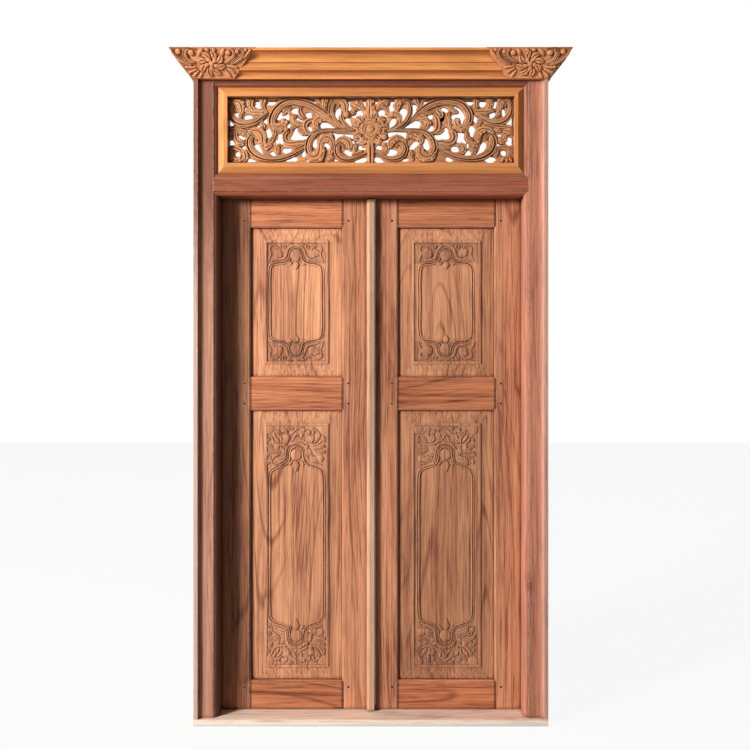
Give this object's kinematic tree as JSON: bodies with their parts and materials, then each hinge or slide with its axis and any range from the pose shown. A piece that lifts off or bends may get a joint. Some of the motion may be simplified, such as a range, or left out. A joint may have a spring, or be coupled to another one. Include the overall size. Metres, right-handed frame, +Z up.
{
  "type": "carved double door with frame",
  "caption": "Carved wooden double door in its moulded frame, with pivoted panelled leaves, a pierced carved transom and a crown with carved corner blocks.",
  "frame": {"origin": "under the middle of the sill, halfway through the frame's depth", "axes": "+Z up the door, +Y from its front face to its back, +X across it to the right as seen from the front"},
  "size_m": [1.444, 0.2085, 2.457],
  "materials": {
    "frame_wood": "old oiled hardwood, worn edges",
    "rail_wood": "old oiled hardwood, reddish",
    "crown_wood": "old oiled hardwood, orange brown",
    "carving_wood": "old oiled hardwood, carved",
    "leaf_wood": "old oiled hardwood, strong grain",
    "panel_wood": "old oiled hardwood, carved and raised",
    "peg_wood": "dark pegs",
    "strip_wood": "pale worn hardwood",
    "sill_wood": "pale weathered hardwood"
  },
  "bodies": {
    "frame": {"sill": "sill_wood", "left_jamb": "frame_wood", "right_jamb": "frame_wood", "transom_rail": "rail_wood", "head": "rail_wood", "left_crown_block": "carving_wood", "right_crown_block": "carving_wood", "crown_front": "crown_wood", "left_crown_return": "crown_wood", "right_crown_return": "crown_wood", "transom_left_moulding": "crown_wood", "transom_right_moulding": "crown_wood", "transom_top_moulding": "crown_wood", "transom_bottom_moulding": "crown_wood", "transom_carving": "carving_wood"},
    "left_leaf": {"left_hanging_stile": "leaf_wood", "left_meeting_stile": "leaf_wood", "left_top_rail": "leaf_wood", "left_lock_rail": "leaf_wood", "left_bottom_rail": "leaf_wood", "left_upper_panel": "panel_wood", "left_lower_panel": "panel_wood", "left_pegs": "peg_wood", "cover_strip": "strip_wood"},
    "right_leaf": {"right_hanging_stile": "leaf_wood", "right_meeting_stile": "leaf_wood", "right_top_rail": "leaf_wood", "right_lock_rail": "leaf_wood", "right_bottom_rail": "leaf_wood", "right_upper_panel": "panel_wood", "right_lower_panel": "panel_wood", "right_pegs": "peg_wood"}
  },
  "joints": [
    {"name": "left_leaf_swing", "type": "hinge", "parent": "frame", "child": "left_leaf", "pos_m": [-0.5615, 0.0395, 1], "axis": [0, 0, 1], "range_deg": [0, 90]},
    {"name": "right_leaf_swing", "type": "hinge", "parent": "frame", "child": "right_leaf", "pos_m": [0.5615, 0.0395, 1], "axis": [0, 0, -1], "range_deg": [0, 90]}
  ]
}
